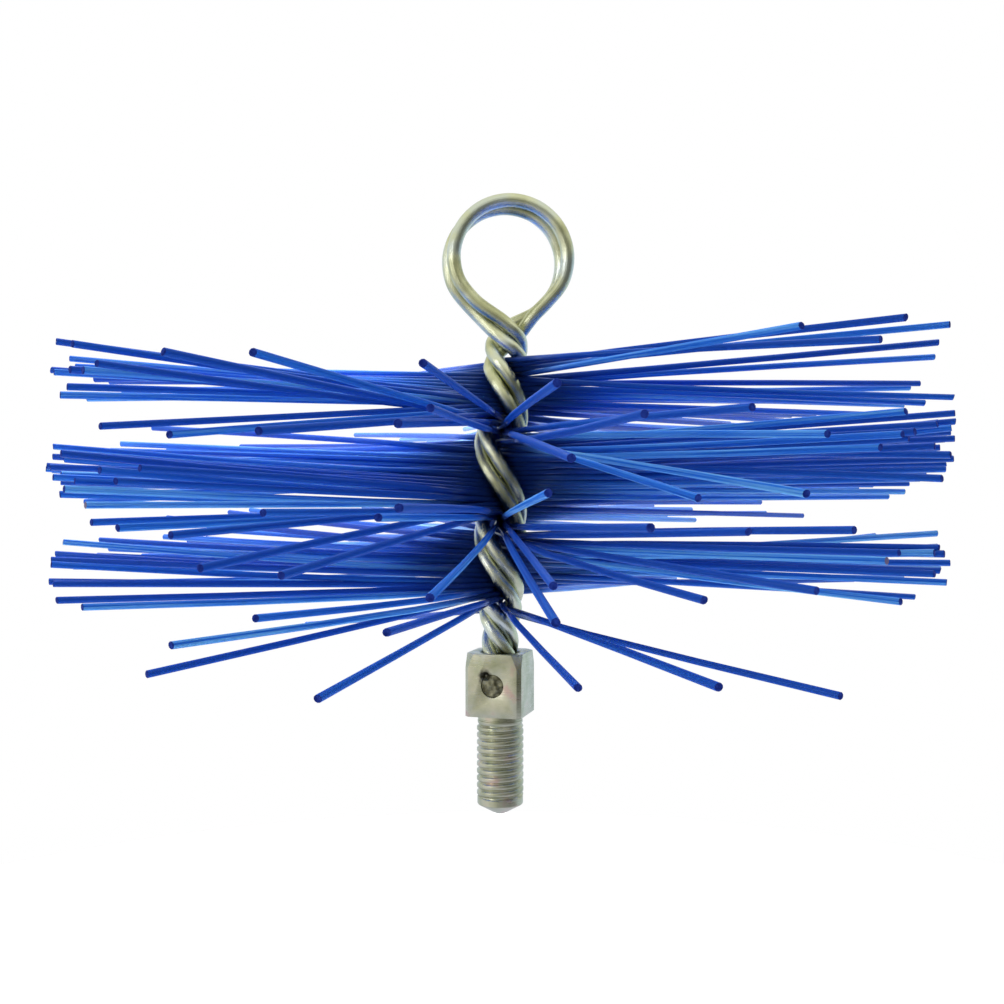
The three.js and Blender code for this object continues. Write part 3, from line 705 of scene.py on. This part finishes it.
def studCore():
    blunt, band, neck = stud["bluntDiameter"] / 2, stud["bandDiameter"] / 2, stud["neckDiameter"] / 2
    core = stud["diameter"] / 2 - stud["depth"] - 0.4
    cone, low, high, shoulder = stud["coneHeight"], stud["low"], stud["high"], bar["shoulder"]
    point = [(0, 0), (blunt, 0), (blunt + 0.15, 0.08), (band - 0.12, cone - 0.1)]
    plainBand = [(band, cone + 0.12), (band, low - 0.15), (band - 0.15, low)]
    insideThread = [(core, low + 0.1), (core, high - 0.3), (neck - 0.5, high - 0.1)]
    collar = [(neck - 0.15, high + 0.25), (neck, high + 0.6), (neck, high + 1.0)]
    groove = [(neck - 0.12, high + 1.1), (neck - 0.12, high + 1.3), (neck, high + 1.4)]
    fillet = [(neck, shoulder - 0.25), (neck + 0.35, shoulder + 0.01),
              (neck + 0.35, shoulder + 0.6), (0, shoulder + 0.6)]
    return turned("studCore", point + plainBand + insideThread + collar + groove + fillet, steps=96)


def makeCoupler():
    mesh = combined(machinedBar(), [("UNION", studCore()), ("UNION", threadedStud())], "coupler")
    smoothShaded(mesh, bar["sharpAngle"])
    mesh.materials.clear()
    piece = addObject("coupler", mesh, zincOnTurnedBar(frontOfBar() @ dentMiddle()))
    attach(piece, "root")
    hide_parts("threaded_coupler")


plug = dict(diameter=4.84, foot=4.32, face=5.82, round=0.16, rings=9, dents=0.34, dentsPerMetre=850,
            sharpAngle=35)


def makePlug():
    # end of a steel pin, pressed into the cross hole and hammered: uneven, with no clean edge
    radius, face, edge = plug["diameter"] / 2, plug["face"], plug["round"]
    inner = radius - edge
    rings = [(inner * (1 - ring / plug["rings"]), face) for ring in range(plug["rings"] + 1)]
    body = turned("plugBody", [(0, plug["foot"]), (radius, plug["foot"]), (radius, face - edge)] + rings,
                  steps=48)
    for vert in body.data.vertices:
        if vert.co.z > (face - edge / 2) * mm:
            vert.co.z += plug["dents"] * mm * noise.noise(vert.co * plug["dentsPerMetre"])
    mesh = combined(body, [("DIFFERENCE", punchDent(Matrix.Identity(4)))], "plug")
    mesh.transform(frontOfBar())
    smoothShaded(mesh, plug["sharpAngle"])
    mesh.materials.clear()
    piece = addObject("plug", mesh, plugFinish)
    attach(piece, "root")
    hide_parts("locking_plug")


makeCoupler()
makePlug()
print("coupler and plug are machined")


# Each strand bends a little, to the side by at most sideBend, and down or up by at most droop and
# rise, all times bend. It starts rootGap short of the stem's middle, which leans over between
# leanHeights. The tips are the frame's faces that lie farther out than tipsFrom. With this seed,
# the strands that point at the viewer are mostly the deeper blue ones: painted shade on them.
bristle = dict(diameter=1.26, girth=(0.92, 1.06), sides=10, sections=3, rootGap=0.5, bend=0.8,
               sideBend=0.6, droop=1, rise=0.6, chamfer=0.1, slant=14, tipsFrom=40,
               leanHeights=(85, 100), seed=2960)


def strandShape():
    # one straight strand of unit length along +Z, with the ring of its chamfer at the free end
    bm = bmesh.new()
    radius = bristle["diameter"] / 2 * mm
    bmesh.ops.create_circle(bm, cap_ends=True, radius=radius, segments=bristle["sides"])
    top = bm.faces[:]
    for section in range(bristle["sections"]):
        made = bmesh.ops.extrude_face_region(bm, geom=top, use_keep_orig=section == 0)["geom"]
        top = [part for part in made if isinstance(part, bmesh.types.BMFace)]
        rim = [part for part in made if isinstance(part, bmesh.types.BMVert)]
        bmesh.ops.translate(bm, vec=(0, 0, 1 / bristle["sections"]), verts=rim)
    bmesh.ops.inset_region(bm, faces=top, thickness=bristle["chamfer"] * mm, use_even_offset=True)
    bmesh.ops.recalc_face_normals(bm, faces=bm.faces)
    around = bm.loops.layers.uv.new("UVMap")
    bm.faces.ensure_lookup_table()
    for face in bm.faces:
        middle = face.calc_center_median()
        face.smooth = len(face.verts) == 4
        face.material_index = 1 if middle.z > 0.999 else 0  # the end is the second material
        home = math.atan2(middle.y, middle.x) / (2 * math.pi)
        for loop in face.loops:
            turn = math.atan2(loop.vert.co.y, loop.vert.co.x) / (2 * math.pi)
            turn += round(home - turn)  # no face spans the seam of the angle
            loop[around].uv = (turn, loop.vert.co.z)
    return meshFrom(bm, "strandShape")


def strandTips(node):
    # the frame's strands end in one small flat face each, out at the brush's rim
    bm = bmesh.new()
    bm.from_mesh(nodes[node].data)
    bmesh.ops.remove_doubles(bm, verts=bm.verts, dist=weldDistance)
    bmesh.ops.dissolve_limit(bm, angle_limit=math.radians(1), verts=bm.verts, edges=bm.edges)
    rim = bristle["tipsFrom"] * mm
    tips = [(face.calc_center_median(), face.normal.copy()) for face in bm.faces
            if all(math.hypot(vert.co.x, vert.co.y) > rim for vert in face.verts)]
    bm.free()
    return sorted(tips, key=lambda tip: (round(tip[0].z, 6), round(tip[0].x, 6)))


def makeBristles(name, node, shape, dice):
    bm = bmesh.new()
    toneAndShade = bm.verts.layers.float.new("toneAndShade")
    size = len(shape.vertices)
    flatRadius = (bristle["diameter"] / 2 - bristle["chamfer"] / 2) * mm
    side, low, high = bristle["sideBend"], bristle["leanHeights"][0] * mm, bristle["leanHeights"][1] * mm
    tips = strandTips(node)
    for tip, direction in tips:
        level = Vector((direction.x, direction.y, 0))
        lean = Vector((wires["lean"] * mm * smoothStep(tip.z, low, high), 0, 0))
        reach = (Vector((tip.x, tip.y, 0)) - lean).dot(level) / level.length_squared
        reach -= bristle["rootGap"] * mm
        root = tip - direction * reach
        sag = (direction.cross(up).normalized() * dice.uniform(-side, side)
               + up * dice.uniform(-bristle["droop"], bristle["rise"]))
        sag *= bristle["bend"] * mm
        # random tone, with the seed chosen so that it is painted shade on the strands that point at the
        # viewer
        shade = dice.random()
        girth = dice.uniform(*bristle["girth"])
        turn = (direction.to_track_quat("Z", "Y").to_matrix()
                @ Matrix.Rotation(dice.uniform(0, 6.28), 3, "Z"))
        slant = math.tan(math.radians(dice.uniform(0, bristle["slant"])))
        bm.from_mesh(shape)
        bm.verts.ensure_lookup_table()
        for vert in bm.verts[-size:]:
            share = vert.co.z
            along = reach * share
            if share > 0.9:  # the free end is cut askew, and its outer ring lies back
                along += vert.co.x * slant
                if math.hypot(vert.co.x, vert.co.y) >= flatRadius:
                    along -= bristle["chamfer"] * mm
            across = turn @ Vector((vert.co.x, vert.co.y, 0)) * girth
            vert.co = root + direction * along + across + sag * math.sin(math.pi * share ** 0.8)
            vert[toneAndShade] = shade
    mesh = meshFrom(bm, name)
    piece = addObject(name, mesh, filamentFinish)
    mesh.materials.append(endFinish)
    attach(piece, "root")
    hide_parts(node)
    return len(tips)


strand = strandShape()
dice = random.Random(bristle["seed"])
bands = dict(bottomBristles="bristles_bottom", lowerBristles="bristles_lower",
             upperBristles="bristles_upper", topBristles="bristles_top")
counts = [makeBristles(name, node, strand, dice) for name, node in bands.items()]
bpy.data.meshes.remove(strand)
print("bristles are set:", counts, "in all", sum(counts))
